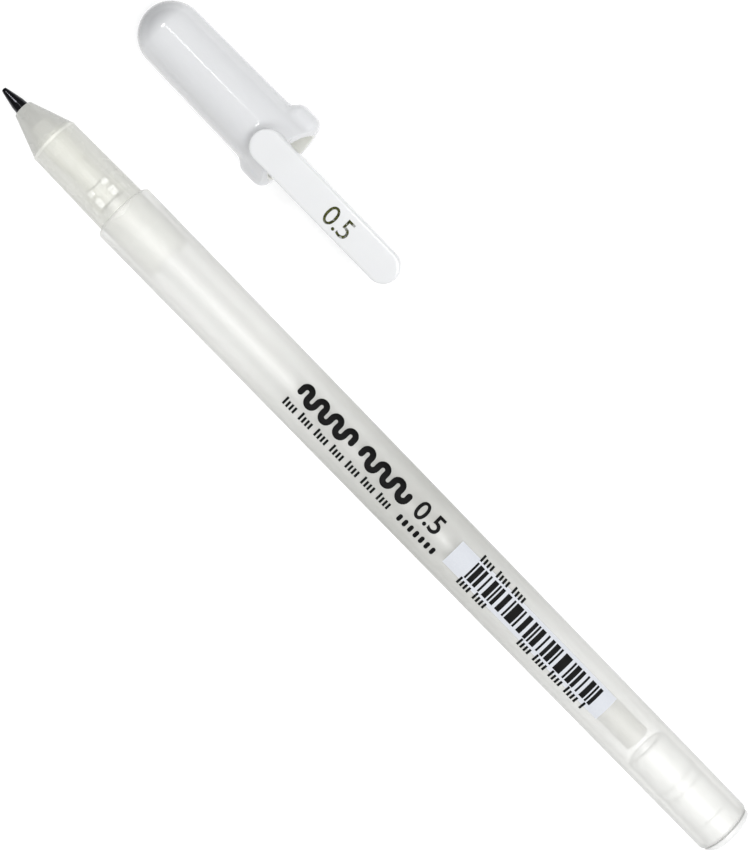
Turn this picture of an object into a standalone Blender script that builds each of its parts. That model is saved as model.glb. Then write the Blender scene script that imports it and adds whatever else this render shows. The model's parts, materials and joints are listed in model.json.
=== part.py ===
"""Gel stick pen lying on a table with its cap off beside it.

The pen lies along X with its nib towards -X. The cap lies parallel to it on the +Y side, mouth
towards +X and clip upwards. The origin is on the table, at the middle of the whole set.
Lengths along the pen are measured from the nib's tip, lengths along the cap from its dome.
"""

from math import asin, cos, pi, radians, sin, tau

import bmesh
import bpy

MM = 0.001

# Whole pen
PEN_LENGTH = 146.7 * MM
ROUND = 48  # facets around the large turned pieces
SMALL_ROUND = 32  # facets around the pieces inside the barrel
NIB_ROUND = 24

# Barrel: a tapering tube, open at both ends
BARREL_FRONT = 24.1 * MM
BARREL_END = 145.3 * MM
BARREL_FRONT_RADIUS = 4.745 * MM
BARREL_END_RADIUS = 4.30 * MM
BARREL_FRONT_CHAMFER = 0.35 * MM
BARREL_END_ROUNDING = 0.6 * MM
BORE_FRONT_RADIUS = 3.80 * MM
BORE_END_RADIUS = 3.45 * MM

# Tail plug: pushed into the barrel's tail
PLUG_FRONT = 129.3 * MM
PLUG_RADIUS = 3.36 * MM
PLUG_BEAD_RADIUS = 3.43 * MM
PLUG_BEADS = (135.5 * MM, 142.0 * MM)
PLUG_BEAD_HALF_LENGTH = 0.5 * MM
PLUG_BORE_RADIUS = 2.5 * MM
PLUG_BORE_END = 143.4 * MM
PLUG_HEAD_RADIUS = 3.85 * MM
PLUG_HEAD_FLAT_RADIUS = 0.9 * MM
VENT_RADIUS = 0.35 * MM
VENT_OFFSET = 1.8 * MM

# Front section: cone and grip cylinder in front of the barrel, spigot inside it
CONE_FRONT = 4.0 * MM
CONE_FRONT_RADIUS = 1.45 * MM
CONE_BASE = 10.2 * MM
CONE_BASE_RADIUS = 3.76 * MM
RIDGE_RADIUS = 3.80 * MM
RIDGE_LENGTH = 0.4 * MM
GRIP_REAR_RADIUS = 3.96 * MM
SHOULDER_GAP = 0.1 * MM
SPIGOT_RADIUS = 3.72 * MM
SPIGOT_END = 33.5 * MM
NIB_HOLE_RADIUS = 1.11 * MM
NIB_HOLE_END = 5.8 * MM
CAVITY_FRONT_RADIUS = 1.45 * MM
CAVITY_RADIUS = 3.00 * MM

# Nib and writing ball
BALL_RADIUS = 0.25 * MM
SOCKET_RADIUS = 0.27 * MM
SOCKET_LIP = 0.12 * MM
LIP_OUTER_RADIUS = 0.35 * MM
FEED_HOLE_RADIUS = 0.12 * MM
NIB_CONE_BASE = 3.9 * MM
NIB_RADIUS = 1.06 * MM
NIB_END = 9.2 * MM
NIB_BORE_RADIUS = 0.75 * MM
NIB_BORE_FRONT = 2.0 * MM

# Tip holder: joins the nib to the ink tube
HOLDER_FRONT = 7.2 * MM
HOLDER_FRONT_RADIUS = 1.7 * MM
HOLDER_SHOULDER = 8.8 * MM
HOLDER_RADIUS = 2.2 * MM
FLANGE_FRONT = 19.2 * MM
FLANGE_REAR = 22.2 * MM
FLANGE_RADIUS = 2.93 * MM
GROOVES = 6
GROOVE_RADIUS = 1.0 * MM
GROOVE_FIRST = radians(33)
CHANNEL_RADIUS = 0.6 * MM
HOLDER_SPIGOT_RADIUS = 1.45 * MM
HOLDER_END = 27.5 * MM

# Ink tube and what it holds
TUBE_FRONT = 22.4 * MM
TUBE_END = 127.9 * MM
TUBE_RADIUS = 2.0 * MM
TUBE_BORE_RADIUS = 1.5 * MM
INK_CLEARANCE = 0.05 * MM
INK_END = 113.0 * MM
FOLLOWER_FRONT = 113.2 * MM
FOLLOWER_END = 119.5 * MM

# Cap: closed shell with a domed end and two lugs at its mouth
CAP_LENGTH = 28.9 * MM
CAP_DOME_RADIUS = 4.87 * MM
CAP_MOUTH_RADIUS = 5.21 * MM
CAP_BORE_RADIUS = 4.12 * MM
CAP_BORE_SHOULDER = 14.5 * MM
CAP_THROAT = 8.5 * MM
CAP_THROAT_RADIUS = 2.4 * MM
CAP_BORE_END = 2.2 * MM
LUG_LENGTH = 4.8 * MM
LUG_REACH = 6.5 * MM
LUG_ROOT = 4.45 * MM
LUG_THICKNESS = 3.6 * MM
LUG_ROUNDING = 0.85 * MM

# Seal pad in the cap's dome
SEAL_RADIUS = 2.33 * MM
SEAL_FRONT = 4.7 * MM
SEAL_GAP = 0.06 * MM
SEAL_DIMPLE_RADIUS = 1.1 * MM
SEAL_DIMPLE_DEPTH = 0.3 * MM

# Clip: its root boss belongs to the cap, its arm turns in a seat in the boss
CLIP_WIDTH = 4.9 * MM
CLIP_THICKNESS = 1.7 * MM
CLIP_HEIGHT = 6.4 * MM  # from the cap's axis to the middle of the arm
CLIP_HINGE = 27.2 * MM
CLIP_TIP = 51.5 * MM
CLIP_ROOT_LENGTH = 1.9 * MM  # the arm thickens past the cap's mouth, so its inner face lies clear of it
CLIP_ROOT_DROP = 0.1 * MM
BOSS_FRONT = 23.7 * MM
BOSS_FOOT = 4.3 * MM
SEAT_RADIUS = 0.92 * MM
BUMP_CENTRE = 47.7 * MM
BUMP_HALF_LENGTH = 2.2 * MM
BUMP_HEIGHT = 0.55 * MM

# How the set lies on the table
CAP_SPACING = 22.2 * MM  # between the pen's axis and the cap's axis
CAP_DOME_PLACE = 6.5 * MM  # how far behind the nib's tip the dome lies
CAP_ROLL = radians(15)
LUG_REACH_ROLLED = LUG_REACH * cos(CAP_ROLL)
PEN_Y = (BARREL_FRONT_RADIUS - CAP_SPACING - LUG_REACH_ROLLED) / 2


def clear_scene():
    for obj in list(bpy.data.objects):
        bpy.data.objects.remove(obj)


def plastic(name, colour, roughness, alpha=1.0):
    return material(name, colour, roughness, metallic=0.0, alpha=alpha)


def material(name, colour, roughness, metallic, alpha=1.0):
    made = bpy.data.materials.new(name)
    made.use_nodes = True
    shader = made.node_tree.nodes["Principled BSDF"]
    shader.inputs["Base Color"].default_value = (*colour, 1.0)
    shader.inputs["Roughness"].default_value = roughness
    shader.inputs["Metallic"].default_value = metallic
    shader.inputs["Alpha"].default_value = alpha
    return made


def empty(name, location, roll=0.0):
    made = bpy.data.objects.new(name, None)
    made.location = location
    made.rotation_euler = (roll, 0, 0)
    bpy.context.scene.collection.objects.link(made)
    return made


def add_object(name, bm, parent, finish=None):
    bmesh.ops.recalc_face_normals(bm, faces=bm.faces)
    mesh = bpy.data.meshes.new(name)
    bm.to_mesh(mesh)
    bm.free()
    mesh.shade_smooth()
    mesh.set_sharp_from_angle(angle=radians(35))
    obj = bpy.data.objects.new(name, mesh)
    obj.parent = parent
    bpy.context.scene.collection.objects.link(obj)
    if finish:
        mesh.materials.append(finish)
    return obj


def arc(centre, radius, start, end, steps):
    """Points (x, r) on a circle about centre, from one angle to another, ends included."""
    turn = (end - start) / steps
    angles = [start + turn * step for step in range(steps + 1)]
    return [(centre[0] + radius * cos(a), centre[1] + radius * sin(a)) for a in angles]


def turned(name, outline, parent, finish=None, facets=ROUND, origin=0.0):
    """A solid of revolution about X from a closed outline of (x, radius) points."""
    bm = bmesh.new()
    rings = []
    for x, radius in outline:
        count = facets if radius else 1
        rings.append(
            [
                bm.verts.new((x - origin, radius * cos(tau * i / facets), radius * sin(tau * i / facets)))
                for i in range(count)
            ]
        )
    for ring, following in zip(rings, rings[1:] + rings[:1]):
        if len(ring) == len(following) == 1:
            continue
        for i in range(facets):
            j = (i + 1) % facets
            corners = (ring[i % len(ring)], ring[j % len(ring)])
            corners += (following[j % len(following)], following[i % len(following)])
            bm.faces.new(dict.fromkeys(corners))
    obj = add_object(name, bm, parent, finish)
    obj.location.x = origin
    return obj


def extruded(name, outline, direction, low, high, parent):
    """A prism of a closed 2-D outline. Along Z the outline is (x, y), along Y it is (x, z)."""
    bm = bmesh.new()
    faces = []
    for level in (low, high):
        corners = [(a, b, level) if direction == "Z" else (a, level, b) for a, b in outline]
        faces.append(bm.faces.new([bm.verts.new(corner) for corner in corners]))
    low_corners, high_corners = (list(face.verts) for face in faces)
    count = len(outline)
    for i in range(count):
        j = (i + 1) % count
        bm.faces.new((low_corners[i], low_corners[j], high_corners[j], high_corners[i]))
    return add_object(name, bm, parent)


def as_tool(obj):
    """Marks an object that only shapes another one."""
    obj.hide_render = True
    obj.display_type = "WIRE"
    return obj


def boolean(target, tool, operation):
    modifier = target.modifiers.new(f"{operation.lower()}_{tool.name}", "BOOLEAN")
    modifier.operation = operation
    modifier.solver = "EXACT"
    modifier.object = as_tool(tool)


def bevel(obj, width, segments):
    modifier = obj.modifiers.new("rounding", "BEVEL")
    modifier.width = width
    modifier.segments = segments
    modifier.limit_method = "ANGLE"


def make_barrel(parent):
    end_face = BARREL_END - BARREL_END_ROUNDING
    rounding_centre = (end_face, BARREL_END_RADIUS - BARREL_END_ROUNDING)
    outline = [
        (BARREL_FRONT, BORE_FRONT_RADIUS),
        (BARREL_FRONT, BARREL_FRONT_RADIUS - BARREL_FRONT_CHAMFER),
        (BARREL_FRONT + BARREL_FRONT_CHAMFER, BARREL_FRONT_RADIUS),
        *arc(rounding_centre, BARREL_END_ROUNDING, pi / 2, 0, 5),
        (BARREL_END, BORE_END_RADIUS),
    ]
    frosted = plastic("frosted_barrel", (0.82, 0.83, 0.80), 0.4, alpha=0.75)
    turned("barrel", outline, parent, frosted)


def make_tail_plug(parent):
    head_front = BARREL_END + SHOULDER_GAP
    head_length = PEN_LENGTH - head_front
    reach = PLUG_HEAD_RADIUS - PLUG_HEAD_FLAT_RADIUS
    steps = 6
    dome = [
        (
            head_front + head_length * sin(pi / 2 * step / steps),
            PLUG_HEAD_FLAT_RADIUS + reach * cos(pi / 2 * step / steps),
        )
        for step in range(steps)
    ]
    side = [(PLUG_FRONT, PLUG_BORE_RADIUS), (PLUG_FRONT, PLUG_RADIUS)]
    for bead in PLUG_BEADS:
        side += [
            (bead - PLUG_BEAD_HALF_LENGTH, PLUG_RADIUS),
            (bead, PLUG_BEAD_RADIUS),
            (bead + PLUG_BEAD_HALF_LENGTH, PLUG_RADIUS),
        ]
    outline = [
        *side,
        (head_front, PLUG_RADIUS),
        *dome,
        (PEN_LENGTH, PLUG_HEAD_FLAT_RADIUS),
        (PEN_LENGTH, 0),
        (PLUG_BORE_END, 0),
        (PLUG_BORE_END, PLUG_BORE_RADIUS),
    ]
    white = plastic("white_plug", (0.9, 0.9, 0.88), 0.35)
    plug = turned("tail_plug", outline, parent, white)
    vent_outline = [
        (PLUG_BORE_END - MM, 0),
        (PLUG_BORE_END - MM, VENT_RADIUS),
        (PEN_LENGTH + MM, VENT_RADIUS),
        (PEN_LENGTH + MM, 0),
    ]
    vent = turned("vent_cutter", vent_outline, parent, facets=12)
    vent.location.z = -VENT_OFFSET
    boolean(plug, vent, "DIFFERENCE")


def make_front_section(parent):
    shoulder = BARREL_FRONT - SHOULDER_GAP
    outline = [
        (CONE_FRONT, NIB_HOLE_RADIUS),
        (CONE_FRONT, CONE_FRONT_RADIUS),
        (CONE_BASE, CONE_BASE_RADIUS),
        (CONE_BASE + RIDGE_LENGTH / 2, RIDGE_RADIUS),
        (CONE_BASE + RIDGE_LENGTH, CONE_BASE_RADIUS),
        (shoulder, GRIP_REAR_RADIUS),
        (shoulder, SPIGOT_RADIUS),
        (SPIGOT_END, SPIGOT_RADIUS),
        (SPIGOT_END, CAVITY_RADIUS),
        (CONE_BASE, CAVITY_RADIUS),
        (NIB_HOLE_END, CAVITY_FRONT_RADIUS),
        (NIB_HOLE_END, NIB_HOLE_RADIUS),
    ]
    clear = plastic("clear_front", (0.80, 0.80, 0.75), 0.3, alpha=0.6)
    turned("front_section", outline, parent, clear)


def make_nib(parent):
    socket = arc(
        (BALL_RADIUS, 0),
        SOCKET_RADIUS,
        asin(FEED_HOLE_RADIUS / SOCKET_RADIUS),
        pi - asin(socket_lip_radius() / SOCKET_RADIUS),
        8,
    )
    outline = [
        (SOCKET_LIP, LIP_OUTER_RADIUS),
        (NIB_CONE_BASE, NIB_RADIUS),
        (NIB_END, NIB_RADIUS),
        (NIB_END, NIB_BORE_RADIUS),
        (NIB_BORE_FRONT, NIB_BORE_RADIUS),
        (NIB_BORE_FRONT - NIB_BORE_RADIUS, FEED_HOLE_RADIUS),
        *socket,
    ]
    steel = material("dark_steel", (0.03, 0.03, 0.035), 0.2, metallic=1.0)
    turned("nib", outline, parent, steel, facets=NIB_ROUND)


def socket_lip_radius():
    """Radius of the socket's opening, smaller than the ball so that it is held."""
    depth = BALL_RADIUS - SOCKET_LIP
    return (SOCKET_RADIUS**2 - depth**2) ** 0.5


def make_writing_ball(parent):
    middle = arc((BALL_RADIUS, 0), BALL_RADIUS, pi, 0, 10)[1:-1]
    outline = [(0, 0), *middle, (2 * BALL_RADIUS, 0)]
    carbide = material("carbide", (0.35, 0.35, 0.36), 0.15, metallic=1.0)
    turned("writing_ball", outline, parent, carbide, facets=16, origin=BALL_RADIUS)


def make_tip_holder(parent):
    outline = [
        (HOLDER_FRONT, NIB_HOLE_RADIUS),
        (HOLDER_FRONT, HOLDER_FRONT_RADIUS),
        (HOLDER_SHOULDER, HOLDER_RADIUS),
        (FLANGE_FRONT, HOLDER_RADIUS),
        (FLANGE_FRONT, FLANGE_RADIUS),
        (FLANGE_REAR, FLANGE_RADIUS),
        (FLANGE_REAR, HOLDER_SPIGOT_RADIUS),
        (HOLDER_END, HOLDER_SPIGOT_RADIUS),
        (HOLDER_END, CHANNEL_RADIUS),
        (NIB_END + SHOULDER_GAP, CHANNEL_RADIUS),
        (NIB_END + SHOULDER_GAP, NIB_HOLE_RADIUS),
    ]
    natural = plastic("natural_holder", (0.85, 0.85, 0.80), 0.3, alpha=0.9)
    holder = turned("tip_holder", outline, parent, natural, facets=SMALL_ROUND)
    groove_centre = FLANGE_RADIUS + GROOVE_RADIUS / 2
    groove_outline = [
        (FLANGE_FRONT - MM / 2, 0),
        (FLANGE_FRONT - MM / 2, GROOVE_RADIUS),
        (FLANGE_REAR + MM / 2, GROOVE_RADIUS),
        (FLANGE_REAR + MM / 2, 0),
    ]
    for number in range(GROOVES):
        turn = GROOVE_FIRST + tau * number / GROOVES
        groove = turned(f"groove_cutter_{number}", groove_outline, parent, facets=12)
        groove.location.y = groove_centre * cos(turn)
        groove.location.z = groove_centre * sin(turn)
        boolean(holder, groove, "DIFFERENCE")


def make_ink_tube(parent):
    outline = [
        (TUBE_FRONT, TUBE_BORE_RADIUS),
        (TUBE_FRONT, TUBE_RADIUS),
        (TUBE_END, TUBE_RADIUS),
        (TUBE_END, TUBE_BORE_RADIUS),
    ]
    clear = plastic("clear_tube", (0.88, 0.88, 0.86), 0.2, alpha=0.5)
    turned("ink_tube", outline, parent, clear, facets=SMALL_ROUND)


def make_gel_ink(parent):
    """The ink fills the nib's bore, the holder's channel and most of the tube."""
    outline = [
        (NIB_BORE_FRONT, 0),
        (NIB_BORE_FRONT, NIB_BORE_RADIUS - INK_CLEARANCE),
        (NIB_END, NIB_BORE_RADIUS - INK_CLEARANCE),
        (NIB_END, CHANNEL_RADIUS - INK_CLEARANCE),
        (HOLDER_END + SHOULDER_GAP, CHANNEL_RADIUS - INK_CLEARANCE),
        (HOLDER_END + SHOULDER_GAP, TUBE_BORE_RADIUS - INK_CLEARANCE),
        (INK_END, TUBE_BORE_RADIUS - INK_CLEARANCE),
        (INK_END, 0),
    ]
    ink = plastic("white_gel", (0.93, 0.93, 0.92), 0.3)
    turned("gel_ink", outline, parent, ink, facets=SMALL_ROUND)


def make_follower_grease(parent):
    outline = [
        (FOLLOWER_FRONT, 0),
        (FOLLOWER_FRONT, TUBE_BORE_RADIUS - INK_CLEARANCE),
        (FOLLOWER_END, TUBE_BORE_RADIUS - INK_CLEARANCE),
        (FOLLOWER_END, 0),
    ]
    grease = plastic("follower_grease", (0.85, 0.86, 0.80), 0.15, alpha=0.6)
    origin = FOLLOWER_FRONT
    turned("follower_grease", outline, parent, grease, facets=SMALL_ROUND, origin=origin)


def make_cap_shell(parent):
    """A cup with a domed end, two lugs and the clip's boss, cut by the clip's seat."""
    outline = [
        (0, 0),
        *arc((CAP_DOME_RADIUS, 0), CAP_DOME_RADIUS, pi, pi / 2, 9)[1:],
        (CAP_LENGTH, CAP_MOUTH_RADIUS),
        (CAP_LENGTH, CAP_BORE_RADIUS),
        (CAP_BORE_SHOULDER, CAP_BORE_RADIUS),
        (CAP_THROAT, CAP_THROAT_RADIUS),
        (CAP_BORE_END, CAP_THROAT_RADIUS),
        (CAP_BORE_END, 0),
    ]
    white = plastic("glossy_cap", (0.9, 0.9, 0.9), 0.12)
    shell = turned("cap_shell", outline, parent, white)
    for side, name in ((-1, "lug_near_pen"), (1, "lug_far_side")):
        inner, outer = sorted((side * LUG_ROOT, side * LUG_REACH))
        plan = [
            (CAP_LENGTH - LUG_LENGTH, inner),
            (CAP_LENGTH, inner),
            (CAP_LENGTH, outer),
            (CAP_LENGTH - LUG_LENGTH, outer),
        ]
        lug = extruded(name, plan, "Z", -LUG_THICKNESS / 2, LUG_THICKNESS / 2, parent)
        bevel(lug, LUG_ROUNDING, 3)
        boolean(shell, lug, "UNION")
    top = CLIP_HEIGHT + CLIP_THICKNESS / 2
    boss = extruded("clip_boss", boss_plan(), "Z", BOSS_FOOT, top, parent)
    boolean(shell, boss, "UNION")
    seat_outline = arc((CLIP_HINGE, CLIP_HEIGHT), SEAT_RADIUS, 0, tau, SMALL_ROUND)[:-1]
    half_width = CLIP_WIDTH / 2 + MM
    seat = extruded("clip_seat_cutter", seat_outline, "Y", -half_width, half_width, parent)
    boolean(shell, seat, "DIFFERENCE")


def boss_plan():
    """Outline of the clip's root from above: round towards the dome, square at the hinge."""
    radius = CLIP_WIDTH / 2
    front = arc((BOSS_FRONT + radius, 0), radius, pi / 2, 3 * pi / 2, 12)
    return [*front, (CLIP_HINGE, -radius), (CLIP_HINGE, radius)]


def make_tip_seal(parent):
    back = CAP_BORE_END + SEAL_GAP
    outline = [
        (back, 0),
        (back, SEAL_RADIUS),
        (SEAL_FRONT, SEAL_RADIUS),
        (SEAL_FRONT, SEAL_DIMPLE_RADIUS),
        (SEAL_FRONT - SEAL_DIMPLE_DEPTH, 0),
    ]
    rubber = plastic("seal_rubber", (0.75, 0.75, 0.72), 0.7)
    turned("cap_tip_seal", outline, parent, rubber, facets=SMALL_ROUND)


def make_clip(parent):
    """The clip's arm: its side view cut to its plan, turning about its round inner end."""
    half_thickness = CLIP_THICKNESS / 2
    inner_face = -half_thickness - CLIP_ROOT_DROP
    length = CLIP_TIP - CLIP_HINGE
    bump = BUMP_CENTRE - CLIP_HINGE
    steps = 8
    bump_line = [
        (
            bump + BUMP_HALF_LENGTH * (1 - 2 * step / steps),
            inner_face - BUMP_HEIGHT * sin(pi * step / steps),
        )
        for step in range(steps + 1)
    ]
    side_view = [
        *arc((0, 0), half_thickness, pi / 2, 3 * pi / 2, 12),
        (CLIP_ROOT_LENGTH, inner_face),
        *reversed(bump_line),
        (length, inner_face),
        (length, half_thickness),
    ]
    radius = CLIP_WIDTH / 2
    plan = [
        (-CLIP_THICKNESS, -radius),
        *arc((length - radius, 0), radius, -pi / 2, pi / 2, 16),
        (-CLIP_THICKNESS, radius),
    ]
    white = plastic("glossy_clip", (0.92, 0.92, 0.92), 0.12)
    arm = extruded("clip", side_view, "Y", -CLIP_WIDTH, CLIP_WIDTH, parent)
    arm.data.materials.append(white)
    trim = extruded("clip_plan_guide", plan, "Z", -CLIP_WIDTH, CLIP_WIDTH, parent)
    boolean(arm, trim, "INTERSECT")
    for obj in (arm, trim):
        obj.location = (CLIP_HINGE, 0, CLIP_HEIGHT)


def main():
    clear_scene()
    nib_tip = -PEN_LENGTH / 2
    pen_axis = empty("pen_axis", (nib_tip, PEN_Y, BARREL_FRONT_RADIUS))
    make_barrel(pen_axis)
    make_tail_plug(pen_axis)
    make_front_section(pen_axis)
    make_tip_holder(pen_axis)
    make_nib(pen_axis)
    make_writing_ball(pen_axis)
    make_ink_tube(pen_axis)
    make_gel_ink(pen_axis)
    make_follower_grease(pen_axis)
    dome_end = (nib_tip + CAP_DOME_PLACE, PEN_Y + CAP_SPACING, CAP_MOUTH_RADIUS)
    cap_axis = empty("cap_axis", dome_end, roll=CAP_ROLL)
    make_cap_shell(cap_axis)
    make_tip_seal(cap_axis)
    make_clip(cap_axis)


main()
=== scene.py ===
"""Looks of the gel pen: a fine mesh and a material for each piece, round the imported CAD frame.

Lengths are in millimetres, apart from the lamps and the floor, which are in metres. Along the pen,
x is measured from the nib's tip. Along the cap, x is measured from its domed end, z points to the
clip and y to the side away from the pen. Colours are linear.
"""

import json
from math import atan, atan2, cos, pi, radians, sin, tau

import bmesh
import bpy
import numpy as np
from mathutils import Matrix, Vector


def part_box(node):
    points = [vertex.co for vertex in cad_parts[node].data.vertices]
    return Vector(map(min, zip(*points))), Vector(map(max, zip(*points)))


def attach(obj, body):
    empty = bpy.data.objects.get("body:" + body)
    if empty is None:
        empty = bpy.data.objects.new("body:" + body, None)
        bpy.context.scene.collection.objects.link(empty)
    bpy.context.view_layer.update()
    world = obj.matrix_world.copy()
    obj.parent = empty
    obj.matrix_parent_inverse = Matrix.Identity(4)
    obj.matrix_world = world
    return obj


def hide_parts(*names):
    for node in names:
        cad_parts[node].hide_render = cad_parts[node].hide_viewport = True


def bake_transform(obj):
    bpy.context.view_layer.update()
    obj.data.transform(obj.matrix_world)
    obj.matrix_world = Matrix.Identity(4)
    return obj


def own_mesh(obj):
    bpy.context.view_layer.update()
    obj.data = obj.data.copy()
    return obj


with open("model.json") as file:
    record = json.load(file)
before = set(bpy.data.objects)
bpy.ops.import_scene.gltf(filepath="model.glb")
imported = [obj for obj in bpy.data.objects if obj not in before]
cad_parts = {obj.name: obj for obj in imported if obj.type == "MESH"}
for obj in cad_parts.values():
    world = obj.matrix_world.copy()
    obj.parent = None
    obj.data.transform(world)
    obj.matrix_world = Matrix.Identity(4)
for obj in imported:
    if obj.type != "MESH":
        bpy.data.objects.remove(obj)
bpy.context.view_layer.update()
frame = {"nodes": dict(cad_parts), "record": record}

MM = 0.001

# Main sizes along the pen
NIB_BASE = 3.9
NIB_END = 9.2
CONE_FRONT = 4.0
CONE_BASE = 10.2
GRIP_END = 24.0
SPIGOT_END = 33.5
BARREL_FRONT = 24.1
BARREL_END = 145.3
BARREL_FRONT_RADIUS = 4.745
BARREL_END_RADIUS = 4.30
TUBE_FRONT = 22.4
TUBE_END = 127.9
TUBE_RADIUS = 2.0
TUBE_BORE = 1.5
INK_STEP = 27.6  # from the holder's narrow channel to the tube
INK_END = 113.0
INK_RADIUS = 1.45
FOLLOWER_FRONT = 113.2
FOLLOWER_END = 119.5
PLUG_FRONT = 129.3
PLUG_BEADS = (135.5, 142.0)
PLUG_RINGS = (135.5, 137.1, 142.4)  # greyer lines round the plug
PLUG_RADIUS = 3.36
PLUG_BORE = 2.5
PLUG_BORE_END = 143.4
DOME_RADIUS = 4.0
DOME_DEPTH = 0.9
GATE_RADIUS = 0.9  # the flat mark at the middle of the dome
PEN_LENGTH = 146.7

# The tip holder's flange
FLANGE_FRONT = 19.1
FLANGE_END = 22.3
FLANGE_CENTRE = 20.7
FLANGE_HALF_LENGTH = 1.45
FLANGE_RADIUS = 2.9
# Outer faces past this radius get the material with painted glints
FLANGE_FACE_RADIUS = 2.7  # the outer faces start here
FLANGE_TURN = radians(33)
FLANGE_NECK = 20.4

# Main sizes of the cap
CAP_LENGTH = 28.9
CAP_DOME_RADIUS = 4.87
CAP_MOUTH_RADIUS = 5.21
LIP_SETBACK = 1.3
LUG_X = 26.45
NIB_BORE = 2.4
GRIP_BORE = 4.12
NIB_BORE_START = 2.2
CONE_BORE_START = 8.5
GRIP_BORE_START = 14.5
CLIP_START = 23.7
CLIP_TIP = 51.5
CLIP_TOP = 7.25
CLIP_UNDERSIDE = 5.45
CLIP_HALF_WIDTH = 2.45
CLIP_CROWN = 0.07
THINNING_START = 30.0
BUMP_CENTRE = 47.7
HINGE = 27.2
ROOT_END = HINGE + 3.5

# The prints
PRINTS_MIDDLE = 82.0
POINT_SIZE = "0.5"
NUMERAL_HEIGHT = 2.9
PRINT_FILM = 0.012  # thickness of the printed ink
PRINT_STEP = 0.2  # a flat shape is cut this fine before it is wrapped round
WAVE_LEVEL = 0.62
WAVE_HEIGHT = 2.05
WAVE_WIDTH = 0.92
DASHES = 7
DASH_START = 82.0
DASH_PITCH = 1.08
DASH_WIDTH = 0.62
BARS_START = 94.1
BARS_END = 118.6
BAR_MODULE = 0.262

# The view: straight down from close by, the pen running down to the right
VIEW_TURN = radians(45.73)
VIEW_HEIGHT = 300.0
VIEW_SPAN = 119.62
VIEW_AIM = (-2.93, -7.44, 4.745)
SENSOR = 36.0

# The setting
FLOOR_RADIUS = 6.0
SKY_WEAKEST = 0.12
SKY_STRONGEST = 0.45
CLEAR_LAYERS = 24  # see-through surfaces that light may cross


# ---------------------------------------------------------------- places


def middle_of(node):
    """The middle of a CAD node's box."""
    low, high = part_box(node)
    return (Vector(low) + Vector(high)) / 2


def pen_place():
    """From the pen's own millimetres to the frame: the nib's tip and the barrel's axis."""
    axis = middle_of("barrel")
    tip_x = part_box("writing_ball")[0][0]
    return Matrix.Translation((tip_x, axis.y, axis.z)) @ Matrix.Scale(MM, 4)


def pen_x(x):
    """A place along the pen, in the frame's metres."""
    return PEN.translation.x + x * MM


def cap_place():
    """From the cap's own millimetres to the frame. The clip's hinge axis gives the cap's roll."""
    axis = middle_of("cap_tip_seal")
    dome_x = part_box("cap_shell")[0][0]
    joints = frame["record"]["behaviour"]["joints"]
    hinge = next(joint for joint in joints if joint["name"] == "clip_flex")
    roll = atan2(-hinge["axis"][2], -hinge["axis"][1])
    turned = Matrix.Rotation(roll, 4, "X") @ Matrix.Scale(MM, 4)
    return Matrix.Translation((dome_x, axis.y, axis.z)) @ turned


PEN = pen_place()
CAP = cap_place()


# ---------------------------------------------------------------- meshes


def add_piece(name, bm, place, material, sharp=35):
    """Moves a mesh made in millimetres to its place in the frame and shades it."""
    mesh = bpy.data.meshes.new(name)
    bm.to_mesh(mesh)
    bm.free()
    mesh.transform(place)
    mesh.shade_smooth()
    mesh.set_sharp_from_angle(angle=radians(sharp))
    mesh.materials.append(material)
    piece = bpy.data.objects.new(name, mesh)
    bpy.context.scene.collection.objects.link(piece)
    return piece


def rounded(corners, steps=4):
    """An outline whose corners (x, r, radius) become arcs that are tangent to their sides."""
    points = []
    count = len(corners)
    for i, (x, r, radius) in enumerate(corners):
        here = Vector((x, r))
        if not radius:
            points.append(here)
            continue
        before = (Vector(corners[i - 1][:2]) - here).normalized()
        after = (Vector(corners[(i + 1) % count][:2]) - here).normalized()
        half = before.angle(after) / 2
        reach = radius / np.tan(half)
        centre = here + (before + after).normalized() * radius / sin(half)
        start = here + before * reach - centre
        end = here + after * reach - centre
        for step in range(steps + 1):
            share = step / steps
            points.append(centre + (start * (1 - share) + end * share).normalized() * radius)
    return points


def lathe(outline, facets=96):
    """A closed surface of revolution about x from a closed outline of (x, r) points."""
    bm = bmesh.new()
    rings = []
    for x, r in outline:
        angles = [tau * i / facets for i in range(facets if r > 1e-6 else 1)]
        rings.append([bm.verts.new((x, r * cos(a), r * sin(a))) for a in angles])
    for ring, following in zip(rings, rings[1:] + rings[:1]):
        if len(ring) == len(following) == 1:
            continue
        for i in range(facets):
            j = (i + 1) % facets
            corners = (ring[i % len(ring)], ring[j % len(ring)])
            corners += (following[j % len(following)], following[i % len(following)])
            bm.faces.new(dict.fromkeys(corners))
    bmesh.ops.recalc_face_normals(bm, faces=bm.faces)
    return bm


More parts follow.
